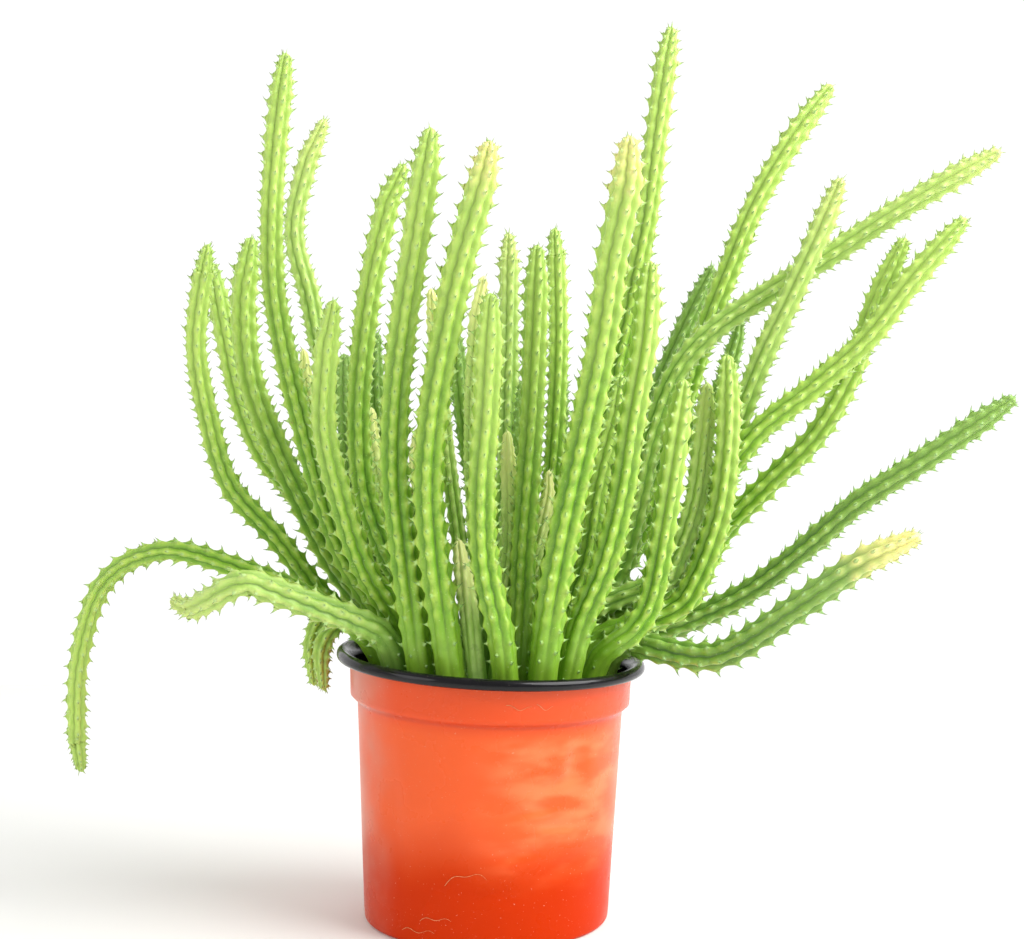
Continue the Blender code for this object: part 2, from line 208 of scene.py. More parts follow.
def ringsOf(nodeName):
    # the CAD stem is a chain of twelve-cornered rings: find them from the heel up
    shape = bmesh.new()
    shape.from_mesh(frame["nodes"][nodeName].data)
    bmesh.ops.remove_doubles(shape, verts=shape.verts, dist=2e-5)
    shape.normal_update()
    shape.verts.index_update()
    low, high = stemLook["rootBand"]
    full = stemLook["ringCorners"]
    heel = set()
    for face in shape.faces:
        middle = face.calc_center_median()
        nearAxis = math.hypot(middle.x, middle.y) < stemLook["rootReach"]
        if face.normal.z < -0.9995 and low < middle.z < high and nearAxis:
            heel.update(face.verts)
    rings = [heel]
    seen = set(heel)
    while len(seen) < len(shape.verts):
        middle = sum((corner.co for corner in inOrder(rings[-1])), Vector()) / len(rings[-1])
        following = besideThem(rings[-1]) - seen
        if len(following) < full:
            following |= besideThem(following) - seen
        nearest = sorted(inOrder(following), key=lambda corner: (corner.co - middle).length)[:full]
        limit = 1.28 * (nearest[len(nearest) // 2].co - middle).length
        rings.append({corner for corner in nearest if (corner.co - middle).length < limit})
        seen |= rings[-1]
    # a flat stretch can lose a corner or two, and such a ring is passed over
    places = [np.array(sorted(tuple(corner.co) for corner in ring))
              for ring in rings if len(ring) == full]
    if len(places) < len(rings) - 1 or len(rings[-1]) < full:
        print(nodeName, "has rings of", [len(ring) for ring in rings])
    shape.free()
    return places


def spineOf(nodeName):
    # centre, radius and the direction of one rib for each ring
    centres = []
    radii = []
    crests = []
    for ring in ringsOf(nodeName):
        centre = ring.mean(axis=0)
        reach = np.linalg.norm(ring - centre, axis=1)
        outer = np.argsort(reach)[-6:]
        ways = (ring[outer] - centre) / reach[outer][:, None]
        if crests:
            way = ways[np.argmax(ways @ crests[-1])]
        else:
            way = ways[0]
        centres.append(centre)
        radii.append(reach[outer].mean())
        crests.append(way)
    return np.array(centres), np.array(radii), np.array(crests)


def smoothLine(knots, perSpan):
    # Catmull-Rom through the knots, and each point's place counted in knots
    padded = np.vstack([2 * knots[0] - knots[1], knots, 2 * knots[-1] - knots[-2]])
    line = []
    place = []
    for span in range(len(knots) - 1):
        a, b, c, d = padded[span:span + 4]
        for step in range(perSpan):
            t = step / perSpan
            line.append(0.5 * (2 * b + (c - a) * t + (2 * a - 5 * b + 4 * c - d) * t * t
                               + (3 * b - a - 3 * c + d) * t ** 3))
            place.append(span + t)
    line.append(knots[-1])
    place.append(len(knots) - 1.0)
    return np.array(line), np.array(place)


def unit(vectors):
    return vectors / np.linalg.norm(vectors, axis=-1, keepdims=True)


def stationsOf(nodeName):
    centres, radii, crests = spineOf(nodeName)
    foot = centres[0] - np.array([0.0, 0.0, stemLook["sink"]])
    centres = np.vstack([foot, centres])
    radii = np.concatenate([[radii[0]], radii])
    crests = np.vstack([crests[0], crests])
    body = radii.copy()
    body[-2:] = radii[-3] * np.array([0.995, 0.99])     # the last two rings are the CAD tip
    line, place = smoothLine(centres, stemLook["spanSteps"])
    run = np.concatenate([[0.0], np.cumsum(np.linalg.norm(np.diff(line, axis=0), axis=1))])
    total = run[-1]
    count = int(total / stemLook["stationStep"])
    at = np.linspace(0.0, total, count)
    spots = np.stack([np.interp(at, run, line[:, axis]) for axis in range(3)], axis=1)
    knot = np.interp(at, run, place)
    knots = np.arange(len(body))
    radius = np.interp(knot, knots, body)
    side = np.stack([np.interp(knot, knots, crests[:, axis]) for axis in range(3)], axis=1)
    along = unit(np.gradient(spots, axis=0))
    side = unit(side - along * np.sum(side * along, axis=1, keepdims=True))
    other = np.cross(along, side)
    return {"at": at, "spots": spots, "radius": radius, "along": along, "side": side,
            "other": other, "total": total}


def ribPhase(stem, step):
    # counts tubercles along the stem: they crowd together towards the tip
    toTip = stem["total"] - stem["at"]
    crowd = 0.34 + 0.66 * np.clip(toTip / stemLook["crowdedLength"], 0.0, 1.0) ** 0.8
    gaps = np.diff(stem["at"], prepend=0.0) / (step * crowd)
    return np.cumsum(gaps)


def unevenness(along, start):
    # slow changes along a stem, around 1
    return 1.0 + 0.14 * np.sin(along * 210.0 + start) + 0.10 * np.sin(along * 97.0 + 2.3 * start)


def tipShape(toTip):
    # the stem narrows over its last stretch and closes at the very end
    part = np.clip(toTip / stemLook["tipTaper"], 0.0, 1.0)
    body = 0.40 + 0.60 * part ** 0.75
    close = np.sqrt(np.clip(toTip / stemLook["tipClose"], 0.0, 1.0))
    return body * close


def stemSkin(stem, start, paleTip):
    look = stemLook
    toNextRib = 2.0 * math.pi / look["ribs"]
    columns = look["ribs"] * look["columnsPerRib"]
    radius = stem["radius"]
    thick = float(np.median(radius))
    step = look["tubercleStep"] * (thick / look["thickRadius"]) ** 0.5
    phase = ribPhase(stem, step) + start
    uneven = unevenness(stem["at"], chance.uniform(0.0, 9.0))
    toTip = stem["total"] - stem["at"]
    fromSoil = stem["at"] - look["sink"]
    growIn = look["heelSmooth"] - look["heelPlain"]
    rise = np.clip((fromSoil - look["heelPlain"]) / growIn, 0.06, 1.0)
    angle = 2.0 * math.pi * np.arange(columns) / columns
    rib = np.round(angle / toNextRib).astype(int) % look["ribs"]
    off = (angle + toNextRib / 2.0) % toNextRib - toNextRib / 2.0
    share = off / (toNextRib / 2.0)                     # -1 and 1 are the grooves, 0 the crest
    count = phase[:, None] + 0.5 * (rib % 2)[None, :]
    swing = np.cos(2.0 * math.pi * count)
    away = count - np.round(count)                      # minus is below the tooth, plus above it
    width = np.where(away < 0.0, look["widthBelow"], look["widthAbove"])
    bump = np.exp(-(np.abs(away) / width) ** 1.7) * np.exp(-(share[None, :] / 0.60) ** 2)
    bump = bump * (rise * uneven)[:, None]
    rounded = 1.0 - 0.10 * np.abs(share) ** 2.0
    depth = look["grooveDepth"] * (0.05 + 0.95 * rise)
    groove = np.exp(-((1.0 - np.abs(share)) / look["grooveWidth"]) ** 2)
    reach = (rounded[None, :] - depth[:, None] * groove[None, :]
             + look["tubercleRise"] * bump - look["sunk"])
    reach = reach * (radius * tipShape(toTip))[:, None]
    turned = (angle[None, :]
              + look["zigzag"] * swing * np.sign(share) * np.abs(share) ** 2 * rise[:, None])
    outward = (stem["side"][:, None, :] * np.cos(turned)[:, :, None]
               + stem["other"][:, None, :] * np.sin(turned)[:, :, None])
    points = stem["spots"][:, None, :] + outward * reach[:, :, None]
    height = np.clip(fromSoil / (stem["total"] - look["sink"]), 0.0, 1.0)
    # painted light and shade: the crests and tubercles are painted lighter and the grooves darker
    crest = np.exp(-(share / 0.34) ** 2)
    reliefShading = 0.22 * crest[None, :] + 0.40 * bump - 0.42 * groove[None, :] * (1.0 - bump)
    reliefShading = 0.42 + reliefShading * rise[:, None]
    # painted as relief shading (painted highlight on the crests and tubercles, painted shade in the
    # grooves), height on the stem, place on a tooth, and distance from the tip
    paint = np.zeros(points.shape[:2] + (4,))
    paint[:, :, 0] = reliefShading
    paint[:, :, 1] = height[:, None]
    paint[:, :, 3] = np.clip(toTip / look["youngLength"], 0.0, 1.0)[:, None]
    if paleTip:
        length, strength = paleTip
        fade = np.clip(1.0 - toTip / length, 0.0, 1.0)[:, None] ** 0.5
        paint[:, :, 3] -= strength * fade * (0.55 + 0.45 * bump)
    teeth = placeTeeth(stem, phase, reach, height, paint[:, 0, 3])
    return points, paint, teeth


def placeTeeth(stem, phase, reach, height, young):
    look = stemLook
    perRib = look["columnsPerRib"]
    toTip = stem["total"] - stem["at"]
    teeth = []
    for rib in range(look["ribs"]):
        count = phase + 0.5 * (rib % 2)
        for number in range(int(math.ceil(count[0])), int(count[-1]) + 1):
            spot = int(np.argmin(np.abs(count - number)))
            fromSoil = stem["at"][spot] - look["sink"]
            if fromSoil < 0.004 or toTip[spot] < 0.0015:
                continue
            if fromSoil < look["heelSmooth"] and chance.random() > look["heelTeethShare"]:
                continue
            angle = rib * 2.0 * math.pi / look["ribs"] + chance.uniform(-0.05, 0.05)
            out = stem["side"][spot] * math.cos(angle) + stem["other"][spot] * math.sin(angle)
            crest = reach[spot, rib * perRib]
            size = chance.uniform(0.78, 1.22) * min(1.0, 0.45 + fromSoil / 0.06)
            size *= min(1.0, 0.25 + 0.75 * stem["radius"][spot] / look["thickRadius"])
            size *= min(1.0, 0.62 + toTip[spot] / 0.05)
            lean = chance.uniform(0.30, 0.80)
            teeth.append((stem["spots"][spot] + out * (crest - 0.0004), out, stem["along"][spot],
                          size, lean, height[spot], young[spot]))
    return teeth


def crownTeeth(stem, amount):
    # the cluster of small unopened leaves at the growing tip
    teeth = []
    last = len(stem["at"]) - 1
    for _ in range(amount):
        back = chance.choice((0, 1, 2, 3, 4, 5))
        spot = last - back
        angle = chance.uniform(0.0, 2.0 * math.pi)
        out = stem["side"][spot] * math.cos(angle) + stem["other"][spot] * math.sin(angle)
        reach = stem["radius"][spot] * (0.10 + 0.055 * back)
        way = unit(out * chance.uniform(0.35, 0.9) + stem["along"][spot])
        size = chance.uniform(0.8, 1.35)
        teeth.append((stem["spots"][spot] + out * reach - stem["along"][spot] * 0.0008, way,
                      stem["along"][spot], size, 0.15, 1.0, 0.0))
    return teeth


def toothMesh(teeth, start):
    # each tooth is a slender hooked cone
    levels = stemLook["toothLevels"]
    corners = stemLook["toothCorners"]
    points = []
    faces = []
    paint = []
    turn = np.arange(corners) * 2.0 * math.pi / corners
    for root, out, along, size, lean, height, young in teeth:
        side = np.cross(out, along)
        up = np.cross(side, out)
        tall = stemLook["toothHeight"] * size
        wide = stemLook["toothRadius"] * (0.6 + 0.4 * size)
        first = start + len(points)
        for level, width in zip(levels, stemLook["toothWidths"]):
            centre = root + out * tall * level + up * tall * lean * level ** 2
            for bend in turn:
                offset = side * math.cos(bend) + up * math.sin(bend) * 1.5
                points.append(centre + offset * wide * width)
                # the first value, 0.85, gives the teeth the painted highlight of the crests
                paint.append((0.85, height, level, young))
        points.append(root + out * tall + up * tall * lean)
        paint.append((0.85, height, 1.0, young))
        faces += gridFaces(len(levels), corners, first)
        lastRing = first + (len(levels) - 1) * corners
        point = lastRing + corners
        for corner in range(corners):
            faces.append((lastRing + corner, lastRing + (corner + 1) % corners, point))
    return points, faces, paint


def growStem(nodeName, material):
    look = stemLook
    stem = stationsOf(nodeName)
    points, paint, teeth = stemSkin(stem, chance.random(), look["paleTips"].get(nodeName))
    if nodeName.startswith("shoot"):
        teeth = teeth[::look["shootTeethEvery"]]
        teeth += crownTeeth(stem, look["shootCrownTeeth"])
    else:
        teeth += crownTeeth(stem, look["crownTeeth"])
    rows, columns = points.shape[:2]
    flat = points.reshape(-1, 3)
    faces = gridFaces(rows, columns)
    faces.append(tuple(range(columns))[::-1])
    faces.append(tuple(range((rows - 1) * columns, rows * columns)))
    morePoints, moreFaces, morePaint = toothMesh(teeth, len(flat))
    flat = np.vstack([flat, np.array(morePoints)])
    paint = np.vstack([paint.reshape(-1, 4), np.array(morePaint)])
    piece = newPiece("skin_" + nodeName, flat, faces + moreFaces, material, (nodeName,))
    paintPoints(piece, "skin", paint)
    return len(faces) + len(moreFaces)


# light is the paler colour of the blotches and the painted highlight on the crests; groove is the
# painted shade in the grooves and also the colour of the mottle
skinLook = {
    "stem_bright_green": {
        "body": fromScreen(125, 176, 40),
        "light": fromScreen(200, 226, 100),
        "groove": fromScreen(66, 122, 24),
        "heel": fromScreen(132, 178, 44),
        "crown": fromScreen(204, 230, 122),
        "tip": fromScreen(168, 204, 96),
        "tipShare": 0.25,
    },
    # a darker copy of the stem colours: the stems' own deeper tone, and on the stems at the back also
    # painted shade
    "stem_deep_green": {
        "body": fromScreen(106, 150, 48),
        "light": fromScreen(162, 194, 90),
        "groove": fromScreen(56, 106, 38),
        "heel": fromScreen(110, 144, 46),
        "crown": fromScreen(148, 186, 90),
        "tip": fromScreen(150, 184, 100),
        "tipShare": 0.2,
    },
    "stem_pale_green": {
        "body": fromScreen(148, 190, 78),
        "light": fromScreen(210, 230, 132),
        "groove": fromScreen(92, 146, 58),
        "heel": fromScreen(118, 174, 64),
        "crown": fromScreen(204, 228, 128),
        "tip": fromScreen(222, 232, 140),
        "tipShare": 0.4,
    },
    "young_shoot": {
        "body": fromScreen(172, 214, 100),
        "light": fromScreen(226, 240, 156),
        "groove": fromScreen(108, 148, 58),
        "heel": fromScreen(124, 176, 66),
        "crown": fromScreen(232, 242, 156),
        "tip": fromScreen(248, 248, 168),
        "tipShare": 0.8,
    },
}


def makeSkin(name):
    look = skinLook[name]
    material, nodes, links, shader = newMaterial(name)
    painted = nodes.new("ShaderNodeAttribute")
    painted.attribute_name = "skin"
    split = nodes.new("ShaderNodeSeparateColor")
    links.new(painted.outputs["Color"], split.inputs["Color"])
    reliefShading, height, tooth = split.outputs["Red"], split.outputs["Green"], split.outputs["Blue"]
    # 0 at the tip, 1 a few centimetres below it, and under 0 on a pale tip
    young = painted.outputs["Alpha"]
    blotch = addRange(nodes, links, addNoise(nodes, links, 60.0, 4.0), 0.36, 0.68, 0.0, 0.22)
    colour = addMix(nodes, links, blotch, look["body"], look["light"])
    # painted highlight: the crests and tubercles take the light colour; painted shade: the grooves
    # take the groove colour
    paintedCrestLight = addRange(nodes, links, reliefShading, 0.44, 0.92, 0.0, 0.66)
    colour = addMix(nodes, links, paintedCrestLight, colour, look["light"])
    paintedGrooveShade = addRange(nodes, links, reliefShading, 0.38, 0.04, 0.0, 0.55)
    colour = addMix(nodes, links, paintedGrooveShade, colour, look["groove"])
    mottle = addRange(nodes, links, addNoise(nodes, links, 210.0, 4.0, 0.65), 0.50, 0.66, 0.0, 0.34)
    colour = addMix(nodes, links, mottle, colour, look["groove"])
    crown = addRange(nodes, links, height, 0.35, 0.95, 0.0, 0.60)
    colour = addMix(nodes, links, crown, colour, look["crown"])
    heel = addRange(nodes, links, height, 0.28, 0.02, 0.0, 0.75)
    colour = addMix(nodes, links, heel, colour, look["heel"])
    tip = addRange(nodes, links, young, 0.75, 0.05, 0.0, look["tipShare"])
    colour = addMix(nodes, links, tip, colour, look["tip"])
    yellow = addRange(nodes, links, young, 0.05, -1.30, 0.0, 0.95)
    colour = addMix(nodes, links, yellow, colour, fromScreen(244, 236, 150))
    fleck = addRange(nodes, links, addNoise(nodes, links, 950.0, 2.0), 0.66, 0.74, 0.0, 0.35)
    colour = addMix(nodes, links, fleck, colour, fromScreen(226, 236, 170))
    scar = addRange(nodes, links, addNoise(nodes, links, 260.0, 3.0), 0.72, 0.79, 0.0, 0.50)
    colour = addMix(nodes, links, scar, colour, fromScreen(150, 118, 62))
    # the tooth's own paler base, with a painted highlight where it springs from the tubercle
    paleToothGlint = addRange(nodes, links, tooth, 0.02, 0.20, 0.0, 0.42)
    colour = addMix(nodes, links, paleToothGlint, colour, fromScreen(168, 214, 150))
    darkTip = addRange(nodes, links, tooth, 0.30, 0.82, 0.0, 0.80)
    browned = addMix(nodes, links, height, fromScreen(84, 126, 56), fromScreen(90, 88, 50))
    colour = addMix(nodes, links, darkTip, colour, browned)
    links.new(colour, shader.inputs["Base Color"])
    gloss = addRange(nodes, links, addNoise(nodes, links, 420.0, 3.0), 0.3, 0.7, 0.34, 0.52)
    links.new(gloss, shader.inputs["Roughness"])
    shader.inputs["Subsurface Weight"].default_value = 0.14
    shader.inputs["Subsurface Radius"].default_value = (0.6, 1.0, 0.25)
    shader.inputs["Subsurface Scale"].default_value = 0.0035
    shader.inputs["Specular IOR Level"].default_value = 0.42
    shader.inputs["Coat Weight"].default_value = 0.12
    shader.inputs["Coat Roughness"].default_value = 0.35
    grain = addNoise(nodes, links, 1500.0, 3.0)
    addBump(nodes, links, shader, grain, 0.25, 0.00012)
    return material


def growPlant():
    skins = {name: makeSkin(name) for name in skinLook}
    slots = {part["node"]: part["material_slot"] for part in frame["record"]["subparts"]}
    grown = 0
    for nodeName in sorted(frame["nodes"]):
        if nodeName.startswith(("stem_", "shoot_")):
            slot = slots[nodeName]
            grown += growStem(nodeName, skins[slot])
    print("plant grown,", grown, "faces")


# the pot: an orange wall around a black lining with a rolled lip

potLook = {
    "baseRadius": 0.0595,
    "stepRadius": 0.0645,
    "bandRadius": 0.0680,
    "bandTopRadius": 0.0688,
    "stepHeight": 0.1045,
    "bandHeight": 0.1080,
    "footRound": 0.0022,
    "floorRing": 0.030,
    "lipDepth": 0.0052,
    "lipLowRound": 0.0021,
    "lipHighRound": 0.0027,
    "liningEnd": 0.0042,            # how far below the rim the lining joins the lip
    "sheet": 0.0010,
    "gap": 0.00035,
    "segments": 192,
    "rimSlope": 0.048,
    "wallLean": 0.018,
    # broad dents: bearing, height, half width in degrees, half height, depth
    "bigDents": ((-62.0, 0.062, 17.0, 0.020, 0.0016), (-112.0, 0.040, 22.0, 0.018, 0.0013),
                 (-150.0, 0.080, 15.0, 0.016, 0.0012), (70.0, 0.055, 24.0, 0.024, 0.0014)),
    # fine creases: the same, and then their slant
    "creases": ((-50.0, 0.086, 5.0, 0.0110, 0.0022, 0.0), (-60.0, 0.077, 9.0, 0.0045, 0.0015, 0.5),
                (-68.0, 0.066, 14.0, 0.0036, 0.0014, 0.25), (-58.0, 0.057, 12.0, 0.0030, 0.0013, -0.2),
                (-76.0, 0.046, 18.0, 0.0045, 0.0012, 0.15), (-54.0, 0.037, 16.0, 0.0055, 0.0015, 0.3),
                (-136.0, 0.062, 6.0, 0.0300, 0.0013, 0.0), (-100.0, 0.074, 20.0, 0.0070, 0.0006, -0.2),
                (-86.0, 0.026, 20.0, 0.0055, 0.0008, 0.1), (-118.0, 0.050, 11.0, 0.0160, 0.0007, 0.0)),
    "drainHoles": 6,
    "drainRadius": 0.004,
    "drainCircle": 0.047,
}
lowLining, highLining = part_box("pot_lining")
rimRadius = (highLining.x - lowLining.x) / 2.0
potHeight = highLining.z - potLook["rimSlope"] * rimRadius * 0.97


def wallRadius(height):
    look = potLook
    if height <= look["stepHeight"]:
        widening = look["stepRadius"] - look["baseRadius"]
        return look["baseRadius"] + widening * height / look["stepHeight"]
    if height <= look["bandHeight"]:
        part = (height - look["stepHeight"]) / (look["bandHeight"] - look["stepHeight"])
        part = part * part * (3.0 - 2.0 * part)
        return look["stepRadius"] + (look["bandRadius"] - look["stepRadius"]) * part
    part = (height - look["bandHeight"]) / (potHeight - look["bandHeight"])
    return look["bandRadius"] + (look["bandTopRadius"] - look["bandRadius"]) * part


def pushedIn(bearing, height):
    depth = 0.0
    for middle, level, halfWidth, halfHeight, deepest in potLook["bigDents"]:
        turn = (math.degrees(bearing) - middle + 180.0) % 360.0 - 180.0
        depth += deepest * math.exp(-(turn / halfWidth) ** 2 - ((height - level) / halfHeight) ** 2)
    return depth


def creased(bearing, height):
    depth = 0.0
    for middle, level, halfWidth, halfHeight, deepest, slant in potLook["creases"]:
        turn = (math.degrees(bearing) - middle + 180.0) % 360.0 - 180.0
        rise = height - level - slant * math.radians(turn) * 0.03
        depth += deepest * math.exp(-(turn / halfWidth) ** 2 - (rise / halfHeight) ** 2)
    return depth


def potPoint(radius, bearing, height, fine=0.0):
    share = max(0.0, height / potHeight)
    inward = pushedIn(bearing, height) * radius / potLook["baseRadius"] * share ** 0.2
    inward += fine * creased(bearing, height)
    pushed = radius - inward
    x = pushed * math.cos(bearing)
    y = pushed * math.sin(bearing)
    dip = potLook["rimSlope"] * x * share ** 1.5
    return (x + potLook["wallLean"] * height, y, height - dip)


def turnedPiece(name, profile, material, replaced, fine=0.0):
    # profile points are radius and height, from the axis and back to it
    segments = potLook["segments"]
    points = []
    rings = []
    for radius, height in profile:
        if radius == 0.0:
            rings.append([len(points)])
            points.append(potPoint(0.0, 0.0, height))
            continue
        rings.append(list(range(len(points), len(points) + segments)))
        for step in range(segments):
            points.append(potPoint(radius, 2.0 * math.pi * step / segments, height, fine))
    faces = []
    for lower, upper in zip(rings, rings[1:]):
        for step in range(segments):
            after = (step + 1) % segments
            if len(lower) == 1:
                faces.append((lower[0], upper[after], upper[step]))
            elif len(upper) == 1:
                faces.append((lower[step], lower[after], upper[0]))
            else:
                faces.append((lower[step], lower[after], upper[after], upper[step]))
    return newPiece(name, points, faces, material, replaced)


def heightsBetween(low, high, count):
    return [low + (high - low) * step / (count - 1) for step in range(count)]


def arcPoints(centreRadius, centreHeight, size, first, last, count):
    # angles in degrees, 0 points outwards and 90 up
    points = []
    for step in range(count):
        angle = math.radians(first + (last - first) * step / (count - 1))
        points.append((centreRadius + size * math.cos(angle), centreHeight + size * math.sin(angle)))
    return points


def pierce(piece):
    # drain holes through the floor
    points = []
    faces = []
    sides = 24
    for hole in range(potLook["drainHoles"]):
        bearing = 2.0 * math.pi * (hole + 0.5) / potLook["drainHoles"]
        x = potLook["drainCircle"] * math.cos(bearing)
        y = potLook["drainCircle"] * math.sin(bearing)
        first = len(points)
        for height in (-0.01, 0.01):
            for side in range(sides):
                angle = 2.0 * math.pi * side / sides
                points.append((x + potLook["drainRadius"] * math.cos(angle),
                               y + potLook["drainRadius"] * math.sin(angle), height))
        faces += gridFaces(2, sides, first)
        faces.append(tuple(range(first, first + sides))[::-1])
        faces.append(tuple(range(first + sides, first + 2 * sides)))
    mesh = bpy.data.meshes.new("drainPegs")
    mesh.from_pydata(points, [], faces)
    pegs = bpy.data.objects.new("drainPegs", mesh)
    bpy.context.scene.collection.objects.link(pegs)
    cut = piece.modifiers.new("drain", "BOOLEAN")
    cut.operation = "DIFFERENCE"
    cut.solver = "EXACT"
    cut.object = pegs
    bpy.context.view_layer.update()
    evaluated = piece.evaluated_get(bpy.context.evaluated_depsgraph_get())
    result = bpy.data.meshes.new_from_object(evaluated)
    piece.modifiers.clear()
    piece.data = result
    bpy.data.objects.remove(pegs)
    piece.data.set_sharp_from_angle(angle=math.radians(50))


potPaint = {
    # foot is the deeper red of the painted reflection low on the wall
    "foot": fromScreen(198, 50, 0),
    "middle": fromScreen(234, 88, 24),
    "band": fromScreen(222, 70, 12),
    # step is the colour of the painted shadow along the step
    "step": fromScreen(176, 40, 4),
    "pale": fromScreen(250, 128, 76),
    # the pale pinkish colour of the painted reflection on the left flank
    "flankSheen": fromScreen(206, 140, 120),
    "dust": fromScreen(244, 190, 160),
}


def makePotOrange():
    material, nodes, links, shader = newMaterial("potOrange")
    place = nodes.new("ShaderNodeTexCoord")
    split = nodes.new("ShaderNodeSeparateXYZ")
    links.new(place.outputs["Object"], split.inputs["Vector"])
    # painted reflection: the wall is a deeper, darker red towards the foot and lighter higher up, as
    # the lower wall would mirror dark ground and the upper wall bright sky
    level = addMath(nodes, links, "MULTIPLY", addNoise(nodes, links, 18.0, 2.0), 0.030)
    level = addMath(nodes, links, "ADD", level, split.outputs["Z"])
    rise = addRange(nodes, links, level, 0.040, 0.078)
    colour = addMix(nodes, links, rise, potPaint["foot"], potPaint["middle"])
    # the band and the step below it dip to the right with the rim
    dip = addMath(nodes, links, "MULTIPLY", split.outputs["X"], 0.035)
    ring = addMath(nodes, links, "ADD", split.outputs["Z"], dip)
    shade = addRange(nodes, links, ring, 0.099, 0.106, 0.0, 0.75)
    colour = addMix(nodes, links, shade, colour, potPaint["band"])
    # painted shadow: a darker line along the step under the wider band
    under = addRange(nodes, links, ring, 0.1035, 0.1052)
    over = addRange(nodes, links, ring, 0.1078, 0.1062)
    line = addMath(nodes, links, "MULTIPLY", under, over)
    line = addMath(nodes, links, "MULTIPLY", line, 0.45)
    colour = addMix(nodes, links, line, colour, potPaint["step"])
    # a broad sheen broken into ripples, right of the middle
    wide = nodes.new("ShaderNodeMapping")
    wide.inputs["Scale"].default_value = (1.0, 1.0, 2.6)
    links.new(place.outputs["Object"], wide.inputs["Vector"])
    ripple = nodes.new("ShaderNodeTexNoise")
    ripple.inputs["Scale"].default_value = 34.0
    ripple.inputs["Detail"].default_value = 2.5
    links.new(wide.outputs["Vector"], ripple.inputs["Vector"])
    cloud = addRange(nodes, links, ripple.outputs["Fac"], 0.40, 0.64, 0.0, 0.75)
    near = addRange(nodes, links, split.outputs["X"], -0.012, 0.022)
    facing = addRange(nodes, links, split.outputs["Y"], 0.010, -0.020)
    cloud = addMath(nodes, links, "MULTIPLY", cloud, facing)
    cloud = addMath(nodes, links, "MULTIPLY", cloud, near)
    cloud = addMath(nodes, links, "MULTIPLY", cloud, rise)
    below = addRange(nodes, links, split.outputs["Z"], 0.102, 0.094)
    cloud = addMath(nodes, links, "MULTIPLY", cloud, below)
    colour = addMix(nodes, links, cloud, colour, potPaint["pale"])
    # painted reflection: a pale pinkish sheen on the left flank
    flank = addRange(nodes, links, split.outputs["X"], -0.040, -0.058)
    flankSheenMask = addRange(nodes, links, addNoise(nodes, links, 22.0, 3.0), 0.34, 0.66, 0.12, 0.66)
    flankSheenMask = addMath(nodes, links, "MULTIPLY", flankSheenMask, flank)
    flankSheenMask = addMath(nodes, links, "MULTIPLY", flankSheenMask, facing)
    colour = addMix(nodes, links, flankSheenMask, colour, potPaint["flankSheen"])
    dust = addRange(nodes, links, addNoise(nodes, links, 1100.0, 2.0), 0.70, 0.76, 0.0, 0.55)
    colour = addMix(nodes, links, dust, colour, potPaint["dust"])
    links.new(colour, shader.inputs["Base Color"])
    rough = addRange(nodes, links, addNoise(nodes, links, 30.0, 5.0), 0.3, 0.7, 0.22, 0.36)
    links.new(rough, shader.inputs["Roughness"])
    sheen = addRange(nodes, links, rise, 0.0, 1.0, 0.07, 0.34)
    links.new(sheen, shader.inputs["Specular IOR Level"])
    peel = addNoise(nodes, links, 700.0, 3.0)
    height = addMath(nodes, links, "MULTIPLY", addNoise(nodes, links, 45.0, 2.0), 9.0)
    height = addMath(nodes, links, "ADD", height, peel)
    addBump(nodes, links, shader, height, 0.4, 0.0001)
    return material


def makePotBlack():
    material, nodes, links, shader = newMaterial("potBlack")
    cloud = addRange(nodes, links, addNoise(nodes, links, 60.0, 5.0), 0.35, 0.7)
    colour = addMix(nodes, links, cloud, fromScreen(8, 7, 10), fromScreen(22, 20, 25))
    dust = addRange(nodes, links, addNoise(nodes, links, 700.0, 4.0), 0.66, 0.78, 0.0, 0.28)
    colour = addMix(nodes, links, dust, colour, fromScreen(112, 98, 92))
    links.new(colour, shader.inputs["Base Color"])
    rough = addRange(nodes, links, addNoise(nodes, links, 160.0, 5.0), 0.3, 0.72, 0.10, 0.28)
    links.new(rough, shader.inputs["Roughness"])
    shader.inputs["Specular IOR Level"].default_value = 0.26
    shader.inputs["Coat Weight"].default_value = 0.10
    shader.inputs["Coat Roughness"].default_value = 0.12
    addBump(nodes, links, shader, addNoise(nodes, links, 240.0, 3.0), 0.4, 0.00018)
    return material


